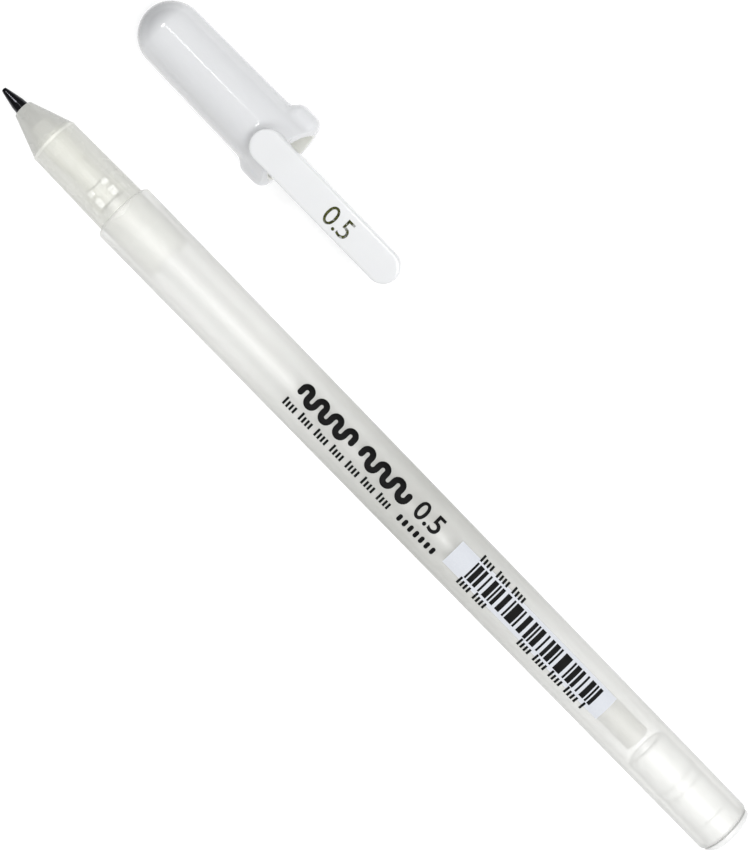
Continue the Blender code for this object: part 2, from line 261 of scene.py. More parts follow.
def net(field, low, high, cell):
    """A closed mesh on the zero surface of field(x, y, z), which is negative inside.

    Each grid cell that the surface crosses gets one vertex, and each crossed grid edge one quad.
    The grid reaches a few cells past low and high.
    """
    starts = [a - 2.5 * cell for a in low]
    counts = [int(np.ceil((b - a) / cell)) + 6 for a, b in zip(low, high)]
    axes = [start + cell * np.arange(count) for start, count in zip(starts, counts)]
    values = field(*np.meshgrid(*axes, indexing="ij"))
    inside = values < 0
    total = np.zeros(values.shape + (3,))
    hits = np.zeros(values.shape)
    quads = []
    for axis in range(3):
        here = np.moveaxis(values, axis, 0)[:-1]
        there = np.moveaxis(values, axis, 0)[1:]
        crossed = np.moveaxis((here < 0) != (there < 0), 0, axis)
        edges = np.argwhere(crossed)
        share = np.moveaxis(here / (here - there + 1e-30), 0, axis)[crossed]
        points = edges.astype(float)
        points[:, axis] += share
        first, second = [other for other in range(3) if other != axis]
        around = []
        for back_first, back_second in ((0, 0), (1, 0), (1, 1), (0, 1)):
            cells = edges.copy()
            cells[:, first] -= back_first
            cells[:, second] -= back_second
            around.append(cells)
            np.add.at(total, tuple(cells.T), points)
            np.add.at(hits, tuple(cells.T), 1)
        quads.append((around, inside[tuple(edges.T)], axis))
    used = hits > 0
    numbers = np.full(values.shape, -1)
    numbers[used] = np.arange(used.sum())
    spots = np.array(starts) + cell * total[used] / hits[used][:, None]
    spots = settled(field, spots, cell)
    bm = bmesh.new()
    verts = [bm.verts.new(spot) for spot in spots]
    for around, start_inside, axis in quads:
        corners = np.stack([numbers[tuple(cells.T)] for cells in around], axis=1)
        flip = start_inside == (axis == 1)
        corners[flip] = corners[flip][:, ::-1]
        for corner in corners:
            bm.faces.new([verts[number] for number in corner])
    bmesh.ops.recalc_face_normals(bm, faces=bm.faces)
    return bm


def slope_of(field, spots, step):
    """The field's slope at each point, from its values a step away on either side."""
    shifts = np.eye(3) * step
    rises = [field(*(spots + shift).T) - field(*(spots - shift).T) for shift in shifts]
    return np.stack(rises, axis=1) / (2 * step)


def settled(field, spots, cell, rounds=4):
    """Moves points on to the zero surface of field along its slope."""
    for _ in range(rounds):
        value = field(*spots.T)
        slope = slope_of(field, spots, cell * 0.05)
        size = np.maximum((slope**2).sum(axis=1), 0.25)  # no long moves where it is flat
        move = slope * (value / size)[:, None]
        spots = spots - np.clip(move, -cell / 2, cell / 2)
    return spots


def shade_by_field(piece, field, place):
    """Gives a net its field's own normals, so that long reflections run straight on it."""
    back = place.inverted()
    spots = np.array([back @ vert.co for vert in piece.data.vertices])
    normals = slope_of(field, spots, 0.01) @ np.array(place.to_3x3()).T
    normals /= np.linalg.norm(normals, axis=1)[:, None]
    piece.data.normals_split_custom_set_from_vertices(normals)


def line_bore(piece, bore, place, within=10.0):
    """Gives the bore's material to the faces that look at the axis, up to a radius."""
    piece.data.materials.append(bore)
    for face in piece.data.polygons:
        away = (face.center - place.translation).yz
        looks_in = away.dot(face.normal.yz) < 0
        face.material_index = int(looks_in and away.length < within * MM)


def union(a, b, soft):
    """Smooth union of two distance fields, with a fillet of about the size soft."""
    near = np.maximum(soft - np.abs(a - b), 0) / soft
    return np.minimum(a, b) - near**2 * soft / 4


def cut(a, b, soft):
    """Field a without the inside of b, its new edges rounded by about soft."""
    return -union(-a, b, soft)


def both(a, b, soft):
    """The inside that two fields share, its new edges rounded by about soft."""
    return -union(-a, -b, soft)


def block(x, y, z, half, edge):
    """Distance to a box with rounded edges, centred on the origin."""
    past = [np.abs(v) - h + edge for v, h in zip((x, y, z), half)]
    outside = sum(np.maximum(p, 0) ** 2 for p in past) ** 0.5
    return outside + np.minimum(np.maximum.reduce(past), 0) - edge


def slab(x, y, z, start, end, radius, low, high, edge):
    """Distance to a flat bar with round ends: its plan in x and y, its thickness in z."""
    middle = (start + end) / 2
    straight = (end - start) / 2 - radius
    plan = np.hypot(np.maximum(np.abs(x - middle) - straight, 0), y) - radius + edge
    level = np.abs(z - (low + high) / 2) - (high - low) / 2 + edge
    outside = np.hypot(np.maximum(plan, 0), np.maximum(level, 0))
    return outside + np.minimum(np.maximum(plan, level), 0) - edge


# ---------------------------------------------------------------- materials


class Finish:
    """A Principled material, with short calls for the procedural detail behind its sockets."""

    def __init__(self, name, colour, **sockets):
        self.material = bpy.data.materials.new(name)
        self.material.use_nodes = True
        self.nodes = self.material.node_tree.nodes
        self.links = self.material.node_tree.links
        self.shader = self.nodes["Principled BSDF"]
        self.shader.inputs["Base Color"].default_value = (*colour, 1)
        for socket, value in sockets.items():
            self.shader.inputs[socket.replace("_", " ")].default_value = value

    def noise(self, per_mm, stretch=(1, 1, 1), detail=3.0, roughness=0.5):
        """Noise from 0 to 1 with about per_mm features in a millimetre, stretched by axis."""
        place = self.nodes.new("ShaderNodeTexCoord")
        mapping = self.nodes.new("ShaderNodeMapping")
        scale = [per_mm / MM / share for share in stretch]
        mapping.inputs["Scale"].default_value = scale
        texture = self.nodes.new("ShaderNodeTexNoise")
        texture.inputs["Scale"].default_value = 1.0
        texture.inputs["Detail"].default_value = detail
        texture.inputs["Roughness"].default_value = roughness
        self.links.new(place.outputs["Object"], mapping.inputs["Vector"])
        self.links.new(mapping.outputs["Vector"], texture.inputs["Vector"])
        return texture.outputs["Fac"]

    def spread(self, source, low, high, from_low=0.3, from_high=0.7):
        """Maps a value's usual range to low..high."""
        node = self.nodes.new("ShaderNodeMapRange")
        node.inputs["From Min"].default_value = from_low
        node.inputs["From Max"].default_value = from_high
        node.inputs["To Min"].default_value = low
        node.inputs["To Max"].default_value = high
        self.links.new(source, node.inputs["Value"])
        return node.outputs["Result"]

    def combine(self, a, b, operation="MULTIPLY"):
        """One value from two."""
        node = self.nodes.new("ShaderNodeMath")
        node.operation = operation
        self.links.new(a, node.inputs[0])
        self.links.new(b, node.inputs[1])
        return node.outputs["Value"]

    def facing(self, low, high, bend=0.5):
        """A value that goes from low, seen head on, to high at the rim, as clear plastic does."""
        node = self.nodes.new("ShaderNodeLayerWeight")
        node.inputs["Blend"].default_value = bend
        return self.spread(node.outputs["Facing"], low, high, 0, 1)

    def along(self, start, end, low, high):
        """A value that goes from low to high between two places along the frame's x axis."""
        place = self.nodes.new("ShaderNodeTexCoord")
        split = self.nodes.new("ShaderNodeSeparateXYZ")
        self.links.new(place.outputs["Object"], split.inputs["Vector"])
        return self.spread(split.outputs["X"], low, high, start, end)

    def band(self, centre, half, soft):
        """1 in a ring round the pen, from half before to half after a place along it, in mm."""
        rise = self.along(pen_x(centre - half - soft), pen_x(centre - half), 0, 1)
        fall = self.along(pen_x(centre + half), pen_x(centre + half + soft), 1, 0)
        return self.combine(rise, fall)

    def mix(self, factor, colour):
        """A colour mix on the base colour, which ends in a colour where factor is 1."""
        node = self.nodes.new("ShaderNodeMix")
        node.data_type = "RGBA"
        node.inputs["B"].default_value = (*colour, 1)
        self.links.new(factor, node.inputs["Factor"])
        self.links.new(node.outputs["Result"], self.shader.inputs["Base Color"])
        return node

    def colours(self, source, first, second):
        """The base colour goes from first to second with a value from 0 to 1."""
        self.mix(source, second).inputs["A"].default_value = (*first, 1)

    def tint(self, mask, colour):
        """Lays a colour over the base colour's mix so far, where mask is 1."""
        under = self.shader.inputs["Base Color"].links[0].from_socket
        self.links.new(under, self.mix(mask, colour).inputs["A"])

    def drive(self, socket, source):
        """Lets a value set one of the shader's sockets."""
        self.links.new(source, self.shader.inputs[socket])

    def glow(self, colour, strength):
        """A light of its own, the same all over."""
        self.shader.inputs["Emission Color"].default_value = (*colour, 1)
        self.shader.inputs["Emission Strength"].default_value = strength

    def bump(self, source, depth, under=None):
        """A relief of the given depth in millimetres, over another relief if there is one."""
        node = self.nodes.new("ShaderNodeBump")
        node.inputs["Distance"].default_value = depth * MM
        node.inputs["Strength"].default_value = 1.0
        self.links.new(source, node.inputs["Height"])
        if under:
            self.links.new(under.outputs["Normal"], node.inputs["Normal"])
        self.links.new(node.outputs["Normal"], self.shader.inputs["Normal"])
        return node


def frosted_plastic():
    """The barrel: spark-eroded frost with faint draw lines, clearer seen head on than at its rim.

    It is greyer round the prints and at its tail end, and clearest at its front end.
    """
    finish = Finish("frosted_barrel", (0.8, 0.8, 0.78), IOR=1.49)
    cloud = finish.noise(0.12, stretch=(3, 1, 1), detail=2)
    finish.colours(finish.spread(cloud, 0, 1), (0.68, 0.68, 0.655), (0.72, 0.72, 0.70))
    finish.tint(finish.band(PRINTS_MIDDLE, 2, 30), (0.49, 0.49, 0.46))
    tail_end = finish.along(pen_x(BARREL_END - 0.6), pen_x(BARREL_END), 0, 1)
    finish.tint(tail_end, (0.42, 0.42, 0.41))
    grain = finish.noise(9, detail=2)
    finish.drive("Roughness", finish.spread(grain, 0.36, 0.50))
    front_end = finish.along(pen_x(BARREL_FRONT), pen_x(BARREL_FRONT + 5), 0.6, 1)
    frost = finish.facing(0.46, 0.96, 0.5)
    finish.drive("Alpha", finish.combine(frost, front_end))
    lines = finish.noise(2.2, stretch=(60, 1, 1), detail=1)
    relief = finish.bump(lines, 0.006)
    finish.bump(grain, 0.004, under=relief)
    return finish.material


def bore_wall(name, colour):
    """The smooth wall inside clear plastic: hardly visible, but glossy and faintly marked."""
    finish = Finish(name, colour, IOR=1.3)
    marks = finish.noise(0.8, stretch=(20, 1, 1), detail=2)
    finish.colours(finish.spread(marks, 0, 1), colour, tuple(value + 0.05 for value in colour))
    finish.drive("Roughness", finish.spread(marks, 0.2, 0.3))
    finish.drive("Alpha", finish.facing(0.06, 0.5, 0.3))
    return finish.material


def clear_plastic():
    """The front section: clear plastic with a warm tint and faint flow lines towards the tip.

    The cone is nearly solid round the nib, so it is cloudier. Its base ring gets a painted
    highlight, a lighter band on the ridge where it catches the light.
    """
    finish = Finish("clear_front", (0.75, 0.75, 0.70), IOR=1.49)
    flow = finish.noise(1.6, stretch=(14, 1, 1), detail=2)
    finish.colours(finish.spread(flow, 0, 1), (0.63, 0.63, 0.585), (0.71, 0.71, 0.67))
    solid = finish.along(pen_x(CONE_BASE - 0.6), pen_x(CONE_BASE + 0.2), 0.7, 0)
    finish.tint(solid, (0.53, 0.53, 0.50))
    haze = finish.noise(0.5, detail=2)
    finish.drive("Roughness", finish.spread(haze, 0.20, 0.32))
    # Painted highlight: a lighter band on the ridge at the cone's base
    finish.tint(finish.band(CONE_BASE + 0.3, 0.1, 0.15), (0.84, 0.84, 0.79))
    clear = finish.facing(0.54, 0.92, 0.45)
    cloudy = finish.along(pen_x(CONE_BASE - 0.6), pen_x(CONE_BASE + 0.6), 0.86, 0)
    finish.drive("Alpha", finish.combine(clear, cloudy, "MAXIMUM"))
    finish.bump(flow, 0.012)
    return finish.material


def natural_plastic():
    """The tip holder and its flange: undyed plastic, milky and glossy."""
    finish = Finish("natural_holder", (0.85, 0.85, 0.80), Roughness=0.18)
    milk = finish.noise(0.7, detail=3)
    finish.colours(finish.spread(milk, 0, 1), (0.62, 0.62, 0.56), (0.70, 0.70, 0.65))
    finish.bump(finish.noise(1.5, stretch=(4, 1, 1)), 0.02)
    return finish.material


def flange_painted_glints():
    """The flange's outer faces, seen through the bore as bright specks: painted glints, from bright
    specks in their colour and a glow of their own.
    """
    finish = Finish("flange_painted_glints", (0.97, 0.97, 0.96), Roughness=0.15)
    # Painted glints: a glow of its own and bright specks in the colour
    finish.glow((1, 1, 1), 0.18)
    marks = finish.noise(1.6, detail=3)
    finish.colours(finish.spread(marks, 0, 1, 0.4, 0.6), (0.68, 0.68, 0.65), (0.99, 0.99, 0.98))
    finish.bump(marks, 0.03)
    return finish.material


def tube_plastic():
    """The ink tube: clear and filled with white, then duller where only air is left in it."""
    finish = Finish("clear_tube", (0.85, 0.85, 0.83))
    haze = finish.noise(1.0, stretch=(25, 1, 1), detail=2)
    finish.colours(finish.spread(haze, 0, 1), (0.89, 0.89, 0.87), (0.94, 0.94, 0.93))
    ends = (pen_x(FOLLOWER_END), pen_x(FOLLOWER_END + 1))
    empty = finish.along(*ends, 0, 0.7)
    finish.tint(empty, (0.52, 0.51, 0.46))
    finish.drive("Roughness", finish.along(*ends, 0.15, 0.6))
    clear = finish.facing(0.25, 0.95, 0.5)
    finish.drive("Alpha", finish.combine(clear, empty, "MAXIMUM"))
    finish.bump(haze, 0.005)
    return finish.material


def gel():
    """The gel ink: wet white with faint streaks along the tube."""
    finish = Finish("white_gel", (0.93, 0.93, 0.92), Roughness=0.2)
    streaks = finish.noise(0.5, stretch=(8, 1, 1), detail=2)
    finish.colours(finish.spread(streaks, 0, 1), (0.86, 0.86, 0.84), (0.93, 0.93, 0.92))
    finish.bump(streaks, 0.02)
    return finish.material


def grease():
    """The follower: clear warm grease with faint swirls."""
    finish = Finish("follower_grease", (0.8, 0.8, 0.72), Roughness=0.1)
    swirl = finish.noise(0.8, detail=3)
    finish.colours(finish.spread(swirl, 0, 1), (0.70, 0.70, 0.62), (0.80, 0.80, 0.74))
    finish.drive("Alpha", finish.facing(0.35, 0.8))
    finish.bump(swirl, 0.02)
    return finish.material


def plug_plastic():
    """The tail plug: opaque white with a satin surface, faint flow marks and greyer rings."""
    finish = Finish("white_plug", (0.93, 0.93, 0.91), Roughness=0.3)
    flow = finish.noise(0.6, stretch=(4, 1, 1), detail=3)
    finish.colours(finish.spread(flow, 0, 1), (0.76, 0.76, 0.75), (0.84, 0.84, 0.83))
    for ring in PLUG_RINGS:
        finish.tint(finish.band(ring, 0.12, 0.15), (0.64, 0.64, 0.63))
    grain = finish.noise(8, detail=2)
    finish.drive("Roughness", finish.spread(grain, 0.26, 0.38))
    relief = finish.bump(flow, 0.02)
    finish.bump(grain, 0.003, under=relief)
    return finish.material


def glossy_white(name, cool, dome=None):
    """The cap and the clip: polished white plastic, faintly uneven, with tiny handling scratches.

    Its very end, from x = dome in metres, gets painted shade: the colour greys towards the dome's
    end.
    """
    finish = Finish(
        name,
        (0.8, 0.8, 0.8),
        IOR=1.5,
        Coat_Weight=0.25,
        Coat_Roughness=0.04,
        Subsurface_Weight=0.12,
        Subsurface_Radius=(1.2 * MM, 1.2 * MM, 1.3 * MM),
        Subsurface_Scale=1.0,
    )
    depth = finish.noise(0.15, detail=2)
    bright = tuple(value + 0.015 for value in cool)
    finish.colours(finish.spread(depth, 0, 1), cool, bright)
    if dome is not None:
        # Painted shade: the colour darkens over the last few millimetres to the dome's end
        finish.tint(finish.along(dome + 0.6 * MM, dome + 4 * MM, 1, 0), (0.35, 0.355, 0.365))
    wear = finish.noise(0.6, detail=4, roughness=0.6)
    finish.drive("Roughness", finish.spread(wear, 0.09, 0.17))
    scratches = finish.noise(5, stretch=(9, 1, 1), detail=2)
    orange_peel = finish.noise(0.8, detail=1)
    relief = finish.bump(orange_peel, 0.001)
    finish.bump(scratches, 0.0003, under=relief)
    return finish.material


def cap_lining():
    """The cap's inside: satin, warm and pale, with a faint glow of its own that paints in the light
    that comes through the thin wall.
    """
    finish = Finish("cap_lining", (0.9, 0.9, 0.84), Roughness=0.45)
    clouds = finish.noise(0.3, stretch=(3, 1, 1), detail=2)
    finish.colours(finish.spread(clouds, 0, 1), (0.74, 0.745, 0.70), (0.79, 0.79, 0.755))
    finish.bump(clouds, 0.01)
    # Painted light: a faint glow that lightens the cap's inside
    finish.glow((0.9, 0.9, 0.86), 0.05)
    return finish.material


def seal_rubber():
    """The cap's tip seal: soft and matt, with a little dust."""
    finish = Finish("seal_rubber", (0.72, 0.72, 0.69), Roughness=0.7)
    dust = finish.noise(3, detail=4)
    finish.colours(finish.spread(dust, 0, 1), (0.66, 0.66, 0.63), (0.75, 0.75, 0.72))
    finish.bump(dust, 0.02)
    return finish.material


def turned_steel():
    """The nib: dark polished metal with the fine rings of its turning."""
    finish = Finish("dark_steel", (0.03, 0.03, 0.034), Metallic=1.0)
    rings = finish.noise(14, stretch=(1, 60, 60), detail=1)
    finish.colours(finish.spread(rings, 0, 1), (0.022, 0.022, 0.026), (0.042, 0.042, 0.046))
    finish.drive("Roughness", finish.spread(rings, 0.10, 0.18))
    finish.bump(rings, 0.002)
    return finish.material


def ball_carbide():
    """The writing ball: hard grey metal with a fine grain."""
    finish = Finish("ball_carbide", (0.3, 0.3, 0.31), Metallic=1.0)
    grain = finish.noise(20, detail=3)
    finish.colours(finish.spread(grain, 0, 1), (0.24, 0.24, 0.25), (0.36, 0.36, 0.37))
    finish.drive("Roughness", finish.spread(grain, 0.1, 0.22))
    return finish.material


def printing_ink(name, dark, light, cover=1.0, worn=False):
    """Screen-printed ink: a slightly uneven film with a soft gloss, rubbed thin if it is worn."""
    finish = Finish(name, dark, Alpha=cover, IOR=1.3, Specular_IOR_Level=0.25)
    film = finish.noise(4, detail=4, roughness=0.6)
    finish.colours(finish.spread(film, 0, 1, 0.35, 0.75), dark, light)
    finish.drive("Roughness", finish.spread(film, 0.5, 0.7))
    if worn:
        rubbed = finish.noise(1.3, detail=3)
        finish.drive("Alpha", finish.spread(rubbed, 1, 0.35, 0.52, 0.62))
    finish.bump(film, 0.003)
    return finish.material


def floor_paper():
    """The floor: plain matt paper, nearly white in the lamps' light and its own."""
    finish = Finish("pale_floor", (0.92, 0.92, 0.92), Roughness=0.8)
    finish.glow((1, 1, 1), 0.5)
    fibre = finish.noise(0.02, detail=3)
    finish.colours(finish.spread(fibre, 0, 1), (0.54, 0.54, 0.54), (0.55, 0.55, 0.55))
    return finish.material


# ---------------------------------------------------------------- the barrel and its prints


def barrel_radius(x):
    """The barrel tapers evenly from its front to its tail end."""
    share = (x - BARREL_FRONT) / (BARREL_END - BARREL_FRONT)
    return BARREL_FRONT_RADIUS + (BARREL_END_RADIUS - BARREL_FRONT_RADIUS) * share


def make_barrel():
    """The frosted tube with its clearer bore."""
    outline = rounded(
        [
            (BARREL_FRONT, 3.80, 0.12),
            (BARREL_FRONT, BARREL_FRONT_RADIUS - 0.35, 0.06),
            (BARREL_FRONT + 0.35, BARREL_FRONT_RADIUS, 0.3),
            (BARREL_END, BARREL_END_RADIUS, 0.6),
            (BARREL_END, 3.45, 0.12),
        ],
        steps=5,
    )
    bore = bore_wall("barrel_bore", (0.80, 0.80, 0.78))
    barrel = add_piece("barrel_tube", lathe(outline, 160), PEN, frosted_plastic())
    line_bore(barrel, bore, PEN)
    barrel.visible_shadow = False  # light comes straight through the frost
    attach(barrel, "barrel")
    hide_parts("barrel")


def slice_flat(bm, levels):
    """Cuts a flat shape along lines of even y, so that it can follow a curved surface."""
    for level in levels:
        everything = bm.verts[:] + bm.edges[:] + bm.faces[:]
        bmesh.ops.bisect_plane(
            bm, geom=everything, dist=1e-6, plane_co=(0, level, 0), plane_no=(0, 1, 0)
        )


def wrap_on_barrel(bm, lift):
    """Lays a flat shape on top of the barrel: its x runs along the pen, its y round it."""
    heights = [vert.co.y for vert in bm.verts]
    lowest = (int(min(heights) / PRINT_STEP) - 1) * PRINT_STEP
    slice_flat(bm, np.arange(lowest, max(heights), PRINT_STEP))
    for vert in bm.verts:
        x, across, _ = vert.co
        radius = barrel_radius(x) + lift
        angle = across / radius
        vert.co = (x, radius * sin(angle), radius * cos(angle))


def printed(name, bm, material, lift=PRINT_FILM):
    """Makes a print from a flat shape, its face at the height lift over the barrel."""
    bmesh.ops.triangulate(bm, faces=bm.faces[:])
    wrap_on_barrel(bm, lift)
    bmesh.ops.recalc_face_normals(bm, faces=bm.faces)
    if sum(face.normal.z for face in bm.faces) < 0:
        bmesh.ops.reverse_faces(bm, faces=bm.faces)
    bmesh.ops.solidify(bm, geom=bm.faces[:], thickness=PRINT_FILM * 1.5)
    piece = add_piece(name, bm, PEN, material)
    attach(piece, "barrel")


def add_shape(bm, points):
    """One flat face."""
    bm.faces.new([bm.verts.new((x, y, 0)) for x, y in points])


def add_bar(bm, x, y, width, height):
    """An upright rectangle, centred on (x, y)."""
    left, right = x - width / 2, x + width / 2
    low, high = y - height / 2, y + height / 2
    add_shape(bm, [(left, low), (right, low), (right, high), (left, high)])


def add_stroke(bm, centres, width, cap_steps=8):
    """A line of even width with round ends along a smooth row of centres."""
    line = [Vector(centre) for centre in centres]
    sides = []
    for i, here in enumerate(line):
        along = (line[min(i + 1, len(line) - 1)] - line[max(i - 1, 0)]).normalized()
        sides.append(Vector((-along.y, along.x)) * width / 2)
    outline = [here + side for here, side in zip(line, sides)]
    outline += round_end(line[-1], sides[-1], cap_steps)
    outline += [here - side for here, side in zip(reversed(line), reversed(sides))]
    outline += round_end(line[0], -sides[0], cap_steps)
    add_shape(bm, outline)


def round_end(centre, side, steps):
    """The half circle that ends a stroke, from one side to the other."""
    return [centre + Matrix.Rotation(-pi * step / steps, 2) @ side for step in range(1, steps)]


def meander(start, end, y, height, bends, steps=10):
    """Centres of a line that goes up and down between start and end, in round bends."""
    pitch = (end - start) / bends
    straight = (height - pitch) / 2
    line = [(start, y - straight)]
    for bend in range(bends):
        side = 1 if bend % 2 == 0 else -1
        middle = start + (bend + 0.5) * pitch
        for step in range(steps + 1):
            turn = pi * step / steps
            place = middle - pitch / 2 * cos(turn)
            line.append((place, y + side * (straight + pitch / 2 * sin(turn))))
    last = -1 if bends % 2 else 1
    line.append((end, y + last * straight))
    return line


def add_number(bm, text, height, x, y, spacing=1.0, bold=0.0):
    """Plain numerals, centred on (x, y), reading along x."""
    curve = bpy.data.curves.new("numerals", "FONT")
    curve.body = text
    curve.size = 1.0
    curve.align_x = "CENTER"
    curve.align_y = "CENTER"
    curve.space_character = spacing
    curve.offset = bold
    curve.resolution_u = 6
    holder = bpy.data.objects.new("numerals", curve)
    bpy.context.scene.collection.objects.link(holder)
    bpy.context.view_layer.update()
    drawn = holder.evaluated_get(bpy.context.evaluated_depsgraph_get())
    mesh = bpy.data.meshes.new_from_object(drawn)
    bpy.data.objects.remove(holder)
    levels = [vert.co.y for vert in mesh.vertices]
    places = [vert.co.x for vert in mesh.vertices]
    scale = height / (max(levels) - min(levels))
    centre = Vector(((max(places) + min(places)) / 2, (max(levels) + min(levels)) / 2, 0))
    centred = Matrix.Scale(scale, 4) @ Matrix.Translation(-centre)
    mesh.transform(Matrix.Translation((x, y, 0)) @ centred)
    bm.from_mesh(mesh)
    bpy.data.meshes.remove(mesh)


def add_ticks(bm, start, end, y, height, pitch=0.62, width=0.36):
    """A fine scale of upright ticks. Each fifth one is left out and the one after it is longer."""
    count = int((end - start) / pitch)
    for number in range(count + 1):
        if number % 5 == 4:
            continue
        tall = height if number % 5 == 0 else height * 0.8
        add_bar(bm, start + number * pitch, y - (height - tall) / 2, width, tall)


def make_prints():
    """Generic marks in the places of the photo's prints, on and beside a pale panel."""
    black = printing_ink("black_ink", (0.002, 0.002, 0.002), (0.006, 0.006, 0.006))
    make_decoration(black)
    make_panel()
    make_bar_pattern(black)


def make_decoration(ink):
    """A bold wavy line in two lengths and the point size, over a fine tick scale and dashes."""
    bm = bmesh.new()
    for start, end, bends in ((59.9, 69.9, 7), (71.9, 80.9, 6)):
        add_stroke(bm, meander(start, end, WAVE_LEVEL, WAVE_HEIGHT, bends), WAVE_WIDTH)
    add_number(bm, POINT_SIZE, NUMERAL_HEIGHT, x=84.9, y=0.9, bold=0.016)
    add_ticks(bm, start=59.3, end=80.0, y=-2.15, height=1.4)
    for number in range(DASHES):
        centre = DASH_START + DASH_PITCH * number
        add_stroke(bm, [(centre, level) for level in (-2.5, -2.2, -1.9)], DASH_WIDTH)
    printed("print_decoration", bm, ink)


def make_panel():
    """The pale panel under the bars."""
    bm = bmesh.new()
    add_bar(bm, x=105.8, y=-0.1, width=30.6, height=4.2)
    pale = printing_ink("panel_ink", (0.70, 0.72, 0.77), (0.74, 0.76, 0.80), cover=0.85)
    printed("print_panel", bm, pale, lift=PRINT_FILM / 3)


def make_bar_pattern(ink):
    """Bars of uneven widths by a plain rule, which encode nothing, with ticks beside them."""
    bm = bmesh.new()
    place = BARS_START
    number = 0
    while place < BARS_END:
        bar = 1 + (number * number + 2 * number) % 5 // 2 * (1 + number % 2)
        gap = 1 + (number * 3 + 1) % 4 // 2
        width = bar * BAR_MODULE
        add_bar(bm, place + width / 2, y=-0.05, width=width * 0.92 + 0.08, height=2.95)
        place += (bar + gap) * BAR_MODULE
        number += 1
    for start, end, level in ((94.2, 103.0, 2.4), (94.0, 99.6, -2.3), (106.0, 118.6, -2.3)):
        add_ticks(bm, start, end, level, height=1.3)
    printed("print_bars", bm, ink)


# ---------------------------------------------------------------- the tail plug


def make_tail_plug():
    """The hollow white plug: its front rim, two beads, the domed end with a flat gate mark."""
    corners = [(PLUG_FRONT, PLUG_BORE, 0.2), (PLUG_FRONT, PLUG_RADIUS - 0.02, 0.6)]
    corners.append((PLUG_FRONT + 1.2, PLUG_RADIUS, 0))
    for bead in PLUG_BEADS:
        corners += [(bead - 0.55, 3.32, 0.1), (bead - 0.25, 3.43, 0.1)]
        corners += [(bead + 0.25, 3.43, 0.1), (bead + 0.55, 3.32, 0.1)]
    corners += [(BARREL_END + 0.1, PLUG_RADIUS, 0.05), (BARREL_END + 0.1, DOME_RADIUS, 0.1)]
    for turn in np.linspace(0, pi / 2, 11)[:-1]:  # a quarter of an ellipse
        x = PEN_LENGTH - DOME_DEPTH + DOME_DEPTH * sin(turn)
        corners.append((x, GATE_RADIUS + (DOME_RADIUS - GATE_RADIUS) * cos(turn), 0))
    gate = PEN_LENGTH - 0.12
    corners += [(PEN_LENGTH, GATE_RADIUS, 0.1), (gate, 0.55, 0.08), (gate, 0, 0)]
    corners += [(PLUG_BORE_END, 0, 0), (PLUG_BORE_END, PLUG_BORE, 0.3)]
    plug = add_piece("tail_insert", lathe(rounded(corners), 128), PEN, plug_plastic())
    plug.visible_shadow = False  # light shines through its wall
    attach(plug, "barrel")
    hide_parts("tail_plug")


# ---------------------------------------------------------------- the writing unit


def make_front_section():
    """The clear cone, its ridge, the grip and the spigot in the barrel, round one stepped bore."""
    outline = rounded(
        [
            (CONE_FRONT, 1.12, 0.08),
            (CONE_FRONT, 1.45, 0.12),
            (CONE_BASE, 3.70, 0.05),
            (CONE_BASE + 0.05, 3.80, 0.05),
            (CONE_BASE + 0.4, 3.80, 0.06),
            (CONE_BASE + 0.5, 3.755, 0.05),
            (GRIP_END, 3.96, 0.06),
            (GRIP_END, 3.72, 0.04),
            (SPIGOT_END, 3.70, 0.3),
            (SPIGOT_END, 3.0, 0.1),
            (CONE_BASE, 3.0, 0.4),
            (5.8, 1.45, 0.15),
            (5.8, 1.12, 0.08),
        ]
    )
    bore = bore_wall("front_bore", (0.76, 0.76, 0.72))
    front = add_piece("front_cone", lathe(outline, 128), PEN, clear_plastic())
    line_bore(front, bore, PEN)
    front.visible_shadow = False  # clear plastic
    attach(front, "writing_unit")
    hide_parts("front_section")


def make_tip_holder():
    """The holder between the nib and the ink tube, with its flange as a net of its own."""
    body = rounded(
        [
            (7.2, 1.11, 0.05),
            (7.2, 1.7, 0.15),
            (8.8, 2.2, 0.3),
            (10.5, 2.2, 0.05),
            (10.7, 2.4, 0.08),
            (11.3, 2.4, 0.08),
            (11.5, 2.25, 0.05),
            (15.0, 2.2, 0.12),
            (15.2, 1.95, 0.1),
            (FLANGE_FRONT, 1.95, 0.1),
            (FLANGE_FRONT, 1.2, 0),
            (FLANGE_END, 1.2, 0),
            (FLANGE_END, 1.45, 0.05),
            (27.5, 1.45, 0.15),
            (27.5, 0.6, 0.1),
            (9.3, 0.6, 0.05),
            (9.3, 1.11, 0.05),
        ]
    )
    milky = natural_plastic()
    holder = add_piece("holder_body", lathe(body), PEN, milky)
    blocks = net(flange_field, (FLANGE_FRONT, -3, -3), (FLANGE_END, 3, 3), cell=0.11)
    flange = add_piece("holder_flange", blocks, PEN, milky)
    # The flange's outer faces get the material with painted glints
    flange.data.materials.append(flange_painted_glints())
    for face in flange.data.polygons:
        away = (face.center - PEN.translation).yz
        face.material_index = int(away.length > FLANGE_FACE_RADIUS * MM)
    for piece in (holder, flange):
        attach(piece, "writing_unit")
        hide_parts("tip_holder")


def flange_field(x, y, z):
    """A flange with six grooves along it and a neck round it, so that it looks like blocks."""
    angle = np.arctan2(z, y) - FLANGE_TURN
    nearest = (angle + pi / 6) % (pi / 3) - pi / 6
    radius = np.hypot(y, z)
    # Round grooves whose centres lie outside the ring, and a neck that dips smoothly
    groove = np.hypot(radius * np.cos(nearest) - 3.4, radius * np.sin(nearest)) - 1.15
    neck = 0.5 * np.exp(-(((x - FLANGE_NECK) / 0.28) ** 2))
    length = np.abs(x - FLANGE_CENTRE) - FLANGE_HALF_LENGTH
    ring = np.maximum(radius - FLANGE_RADIUS + neck, length)
    bore = radius - 1.25
    return cut(cut(ring, groove, soft=0.3), bore, soft=0.15)


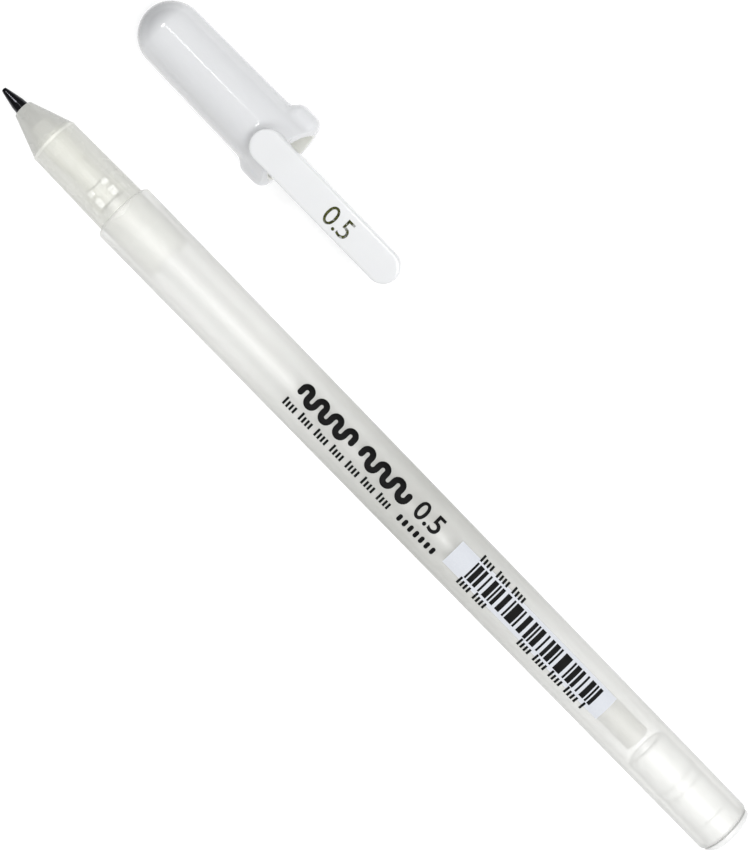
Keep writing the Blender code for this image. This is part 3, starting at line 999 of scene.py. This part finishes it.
def make_nib():
    """The dark cone with its shank, the feed hole and the ball's socket."""
    outline = rounded(
        [
            (0.12, 0.24, 0.02),
            (0.12, 0.35, 0.06),
            (0.55, 0.47, 0.1),
            (2.9, 0.98, 0.15),
            (NIB_BASE - 0.1, 1.06, 0.1),
            (NIB_END, 1.06, 0.1),
            (NIB_END, 0.75, 0),
            (2.0, 0.75, 0),
            (1.4, 0.12, 0),
            (0.5, 0.12, 0),
            (0.42, 0.2, 0),
            (0.345, 0.25, 0),
            (0.25, 0.27, 0),
        ]
    )
    nib = add_piece("nib_cone", lathe(outline), PEN, turned_steel())
    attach(nib, "writing_unit")
    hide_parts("nib")


def make_ball():
    """A geodesic ball, so that it looks the same whichever way it has rolled."""
    bm = bmesh.new()
    bmesh.ops.create_icosphere(bm, subdivisions=4, radius=0.25)
    bmesh.ops.translate(bm, verts=bm.verts, vec=(0.25, 0, 0))
    ball = add_piece("ball", bm, PEN, ball_carbide())
    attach(ball, "writing_ball")
    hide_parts("writing_ball")


def make_ink_tube():
    """The clear tube, open at both ends."""
    outline = rounded(
        [
            (TUBE_FRONT, TUBE_BORE, 0.1),
            (TUBE_FRONT, TUBE_RADIUS, 0.1),
            (TUBE_END, TUBE_RADIUS, 0.12),
            (TUBE_END, TUBE_BORE, 0.12),
        ]
    )
    tube = add_piece("refill_tube", lathe(outline), PEN, tube_plastic())
    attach(tube, "writing_unit")
    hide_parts("ink_tube")


def make_gel_ink():
    """The gel column in the tube and the ink ahead of it, in the holder's channel, the column with
    a mesh of its own. In the pen the column shortens as the follower comes forward, and the ink
    ahead of it stays.
    """
    white = gel()
    column = [(INK_STEP, 0), (INK_STEP, INK_RADIUS), (INK_END - 0.5, INK_RADIUS)]
    for turn in np.linspace(0.15, pi / 2, 8)[:-1]:  # its rounded end
        column.append((INK_END - 0.5 + 0.4 * sin(turn), INK_RADIUS * cos(turn)))
    column.append((INK_END - 0.1, 0))
    filled = add_piece("gel_column", lathe(subdivided(column, 4.0), 64), PEN, white)
    channel_end = INK_STEP - 0.02
    ahead = [(2.0, 0), (2.0, 0.7), (NIB_END, 0.7)]
    ahead += [(NIB_END + 0.05, 0.55), (channel_end, 0.55), (channel_end, 0)]
    channel = add_piece("gel_channel", lathe(ahead, 32), PEN, white)
    for piece in (filled, channel):
        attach(piece, "writing_unit")
        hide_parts("gel_ink")
    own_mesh(filled)


def subdivided(outline, longest):
    """The same outline with its long straight runs along x cut into shorter ones."""
    points = []
    for (x, r), (next_x, next_r) in zip(outline, outline[1:] + outline[:1]):
        pieces = max(1, int(abs(next_x - x) / longest)) if r and next_r else 1
        for i in range(pieces):
            points.append((x + (next_x - x) * i / pieces, r + (next_r - r) * i / pieces))
    return points


def make_follower():
    """The grease plug, with a rounded front and a hollowed rear."""
    turns = np.linspace(0, pi / 2, 8)
    front = [(FOLLOWER_FRONT + 0.35 * (1 - cos(a)), INK_RADIUS * sin(a)) for a in turns]
    rear = [(FOLLOWER_END - 0.45 * cos(a), INK_RADIUS * sin(a)) for a in turns[::-1]]
    follower = add_piece("grease_plug", lathe(front + rear, 64), PEN, grease())
    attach(follower, "follower")
    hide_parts("follower_grease")


# ---------------------------------------------------------------- the cap and its clip


def cap_outer(x, r):
    """Distance to the cap's outside, a dome that runs into a slightly widening cup."""
    dome = np.hypot(x - CAP_DOME_RADIUS, r) - CAP_DOME_RADIUS
    widening = (CAP_MOUTH_RADIUS - CAP_DOME_RADIUS) / (CAP_LENGTH - CAP_DOME_RADIUS)
    side = r - CAP_DOME_RADIUS - widening * (x - CAP_DOME_RADIUS)
    return np.where(x < CAP_DOME_RADIUS, dome, side)


def cap_inner(x, r):
    """Distance to the bore: wide for the grip, a cone for the cone, narrow at the nib."""
    narrow = np.maximum(r - NIB_BORE, NIB_BORE_START - x)
    slope = (GRIP_BORE - NIB_BORE) / (GRIP_BORE_START - CONE_BORE_START)
    wall = (r - NIB_BORE - slope * (x - CONE_BORE_START)) * cos(atan(slope))
    cone = np.maximum(wall, np.maximum(CONE_BORE_START - x, x - GRIP_BORE_START))
    wide = np.maximum(r - GRIP_BORE, GRIP_BORE_START - x)
    return np.minimum(np.minimum(narrow, cone), wide)


def cap_field(x, y, z):
    """The cap: its shell, two lugs, the clip's root and a lip that sits back on the clip's side."""
    r = np.hypot(y, z)
    lug_centre = np.where(y > 0, 5.3, 4.95)
    lugs = block(x - LUG_X, np.abs(y) - lug_centre, z, half=(2.25, 1.2, 1.8), edge=1.2)
    plan = (CLIP_START + 0.1, ROOT_END, CLIP_HALF_WIDTH - 0.06)
    root = slab(x, y, z, *plan, low=4.0, high=7.05, edge=0.3)
    root = np.maximum(root, x - HINGE)
    outside = union(cap_outer(x, r), lugs, soft=1.3)
    outside = union(outside, root, soft=1.6)
    lip = CAP_LENGTH - LIP_SETBACK * np.clip((z + 0.6) / 5.0, 0, 1) ** 1.5
    outside = both(outside, x - lip, soft=0.25)
    return cut(outside, cap_inner(x, r), soft=0.25)


def clip_field(x, y, z):
    """A long flat bar, slightly crowned, thinning to its tip, with a bump under its end."""
    drop = CLIP_CROWN * (y / CLIP_HALF_WIDTH) ** 2
    plan = (CLIP_START, CLIP_TIP, CLIP_HALF_WIDTH)
    bar = slab(x, y, z + drop, *plan, low=CLIP_UNDERSIDE, high=CLIP_TOP, edge=0.28)
    reach = np.clip((x - THINNING_START) / (CLIP_TIP - THINNING_START), 0, 1)
    under = CLIP_UNDERSIDE + 0.45 * reach**2
    bar = both(bar, under - z, soft=0.4)
    foot = slab(x, y, z, CLIP_START, ROOT_END, CLIP_HALF_WIDTH, low=4.4, high=7.0, edge=0.3)
    foot = np.maximum(foot, x - HINGE + 0.2)
    bump = np.hypot((x - BUMP_CENTRE) / 2.4, z - 5.75) - 0.85
    bump = np.maximum(bump * 0.8, np.abs(y) - CLIP_HALF_WIDTH + 0.5)
    return union(union(bar, foot, soft=0.2), bump, soft=0.4)


def make_cap():
    """The cap's shell, glossy outside and satin inside."""
    # dome= places the painted shade at the cap's domed end
    white = glossy_white("glossy_cap", (0.675, 0.68, 0.69), dome=CAP.translation.x)
    shell = net(cap_field, (0, -6.6, -5.3), (CAP_LENGTH, 6.6, 7.2), cell=0.18)
    cap = add_piece("cap_body", shell, CAP, white, sharp=60)
    shade_by_field(cap, cap_field, CAP)
    line_bore(cap, cap_lining(), CAP, within=4.6)
    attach(cap, "cap")
    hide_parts("cap_shell")


def make_clip():
    """The clip and the worn point size printed on it."""
    white = glossy_white("glossy_clip", (0.74, 0.745, 0.75))
    bar = net(clip_field, (CLIP_START, -2.6, 4.3), (CLIP_TIP, 2.6, 7.3), cell=0.2)
    clip = add_piece("clip_bar", bar, CAP, white, sharp=60)
    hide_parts("clip")
    bend_at_root(clip)
    bm = bmesh.new()
    add_number(bm, POINT_SIZE, NUMERAL_HEIGHT, x=40.5, y=-0.1, spacing=0.95)
    bmesh.ops.triangulate(bm, faces=bm.faces[:])
    wrap_on_clip(bm)
    bmesh.ops.solidify(bm, geom=bm.faces[:], thickness=0.02)
    olive = printing_ink("worn_ink", (0.008, 0.009, 0.004), (0.13, 0.14, 0.04), worn=True)
    size = add_piece("print_clip_size", bm, CAP, olive)
    bend_at_root(size)


def wrap_on_clip(bm):
    """Lays a flat shape on the clip's crowned top."""
    slice_flat(bm, np.arange(-1.6, 1.7, 0.4))
    for vert in bm.verts:
        vert.co.z = CLIP_TOP + PRINT_FILM - CLIP_CROWN * (vert.co.y / CLIP_HALF_WIDTH) ** 2


def bend_at_root(piece):
    """Bakes the piece's place into its mesh. The real clip, moulded on to the cap, bends just past
    the cap's mouth.
    """
    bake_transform(piece)


def finish_seal():
    """The tip seal keeps its CAD mesh and gets a material."""
    rubber = seal_rubber()
    for slot in frame["nodes"]["cap_tip_seal"].material_slots:
        slot.material = rubber


# ---------------------------------------------------------------- the setting


def make_floor():
    """A round floor, far wider than the pen."""
    bm = bmesh.new()
    bmesh.ops.create_circle(bm, cap_ends=True, segments=64, radius=FLOOR_RADIUS)
    mesh = bpy.data.meshes.new("floor")
    bm.to_mesh(mesh)
    bm.free()
    mesh.materials.append(floor_paper())
    floor = bpy.data.objects.new("floor", mesh)
    bpy.context.scene.collection.objects.link(floor)


def add_lamp(name, place, size, power):
    """A white rectangular lamp that shines at the middle of the set, its power in watts."""
    lamp = bpy.data.lights.new(name, "AREA")
    lamp.shape = "RECTANGLE"
    lamp.size, lamp.size_y = size
    lamp.energy = power
    holder = bpy.data.objects.new(name, lamp)
    holder.location = place
    holder.rotation_euler = (-Vector(place)).to_track_quat("-Z", "Y").to_euler()
    bpy.context.scene.collection.objects.link(holder)
    return holder


def make_sky():
    """Soft light from all round, weaker on the nib's side of the set."""
    world = bpy.data.worlds.new("studio")
    bpy.context.scene.world = world
    world.use_nodes = True
    nodes = world.node_tree.nodes
    links = world.node_tree.links
    place = nodes.new("ShaderNodeTexCoord")
    split = nodes.new("ShaderNodeSeparateXYZ")
    shade = nodes.new("ShaderNodeMapRange")
    ends = {"From Min": -1.0, "From Max": 0.4, "To Min": SKY_WEAKEST, "To Max": SKY_STRONGEST}
    for socket, value in ends.items():
        shade.inputs[socket].default_value = value
    links.new(place.outputs["Generated"], split.inputs["Vector"])
    links.new(split.outputs["X"], shade.inputs["Value"])
    links.new(shade.outputs["Result"], nodes["Background"].inputs["Strength"])
    nodes["Background"].inputs["Color"].default_value = (0.97, 0.985, 1.0, 1)


def make_light():
    """A large soft lamp, and two strips for the bright lines on the cap and on the nib."""
    make_sky()
    add_lamp("overhead", place=(0.3, 0.0, 1.2), size=(0.9, 0.9), power=13.0)
    strip = add_lamp("strip", place=(-0.400, 0.1, 1.0), size=(0.35, 0.05), power=0.47)
    strip.rotation_euler = (0, 0, 0)  # it shines straight down
    add_lamp("nib_strip", place=(-0.76, 0.0, 1.0), size=(0.3, 0.13), power=2.4)
    bpy.context.scene.view_settings.view_transform = "Standard"
    bpy.context.scene.cycles.transparent_max_bounces = CLEAR_LAYERS


def make_camera():
    """Straight over the middle of the set, turned so that the pen runs down to the right."""
    lens = bpy.data.cameras.new("camera")
    lens.sensor_width = SENSOR
    lens.lens = SENSOR * VIEW_HEIGHT / VIEW_SPAN
    lens.clip_start = 0.01
    lens.clip_end = 20
    camera = bpy.data.objects.new("camera", lens)
    camera.location = (Vector(VIEW_AIM) + Vector((0, 0, VIEW_HEIGHT))) * MM
    camera.rotation_euler = (0, 0, VIEW_TURN)
    bpy.context.scene.collection.objects.link(camera)
    bpy.context.scene.camera = camera


def main():
    """Builds every piece, in metres."""
    make_barrel()
    make_prints()
    make_tail_plug()
    make_front_section()
    make_tip_holder()
    make_nib()
    make_ball()
    make_ink_tube()
    make_gel_ink()
    make_follower()
    make_cap()
    make_clip()
    finish_seal()
    make_floor()
    make_light()
    make_camera()


main()
